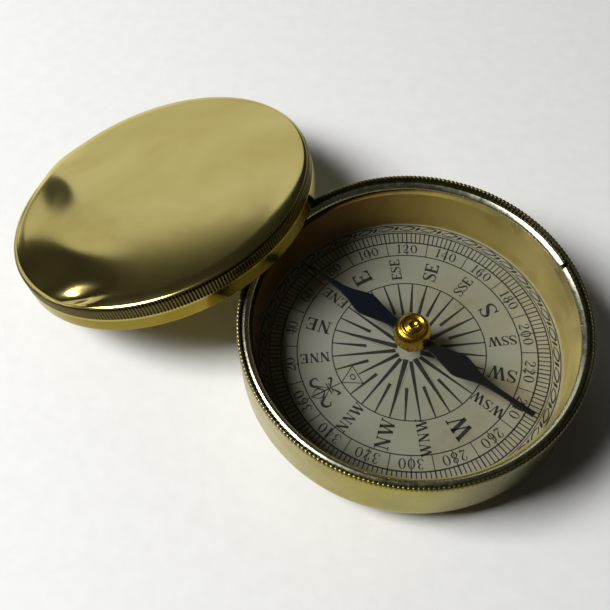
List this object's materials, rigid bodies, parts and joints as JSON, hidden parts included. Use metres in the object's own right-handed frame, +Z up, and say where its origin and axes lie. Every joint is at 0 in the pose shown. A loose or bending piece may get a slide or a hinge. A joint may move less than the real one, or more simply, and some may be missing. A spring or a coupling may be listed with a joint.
{
  "type": "pocket compass",
  "caption": "Round brass pocket compass standing open, with a needle turning on a pivot over a printed dial and its lid leaning on the rim.",
  "frame": {"origin": "centre of the case's flat base, on the surface it stands on", "axes": "+Z up out of the case; the lid leans on the rim at -X; +Y completes the right-handed frame"},
  "size_m": [0.1117, 0.06, 0.0245],
  "materials": {
    "spun_brass": "satin, hand-worn",
    "lid_brass": "satin polish",
    "satin_brass": "satin",
    "turned_brass": "turned",
    "polished_brass": "polished",
    "pivot_steel": "polished",
    "ring_steel": "polished wire",
    "blued_steel": "blued on one arm, dark grey on the other",
    "dial_paper": "matt, aged, printed in black",
    "watch_glass": "clear",
    "agate": "polished"
  },
  "bodies": {
    "case": {"case_pan": "spun_brass", "dial_seat": "turned_brass", "pivot_pillar": "turned_brass", "pivot_pin": "pivot_steel", "dial_plate": "turned_brass", "dial_card": "dial_paper", "inner_sleeve": "satin_brass", "glass": "watch_glass", "retaining_ring": "ring_steel"},
    "needle": {"needle_blade": "blued_steel", "needle_collar": "polished_brass", "needle_cap": "polished_brass", "cap_jewel": "agate"},
    "lid": {"lid_shell": "lid_brass"}
  },
  "joints": [
    {"name": "needle_spin", "type": "hinge", "parent": "case", "child": "needle", "pos_m": [0, 0, 0.011], "axis": [0, 0, 1], "continuous": true},
    {"name": "lid_lift", "type": "slide", "parent": "case", "child": "lid", "axis": [0, 0, 1], "range_m": [0, 0.04]}
  ]
}
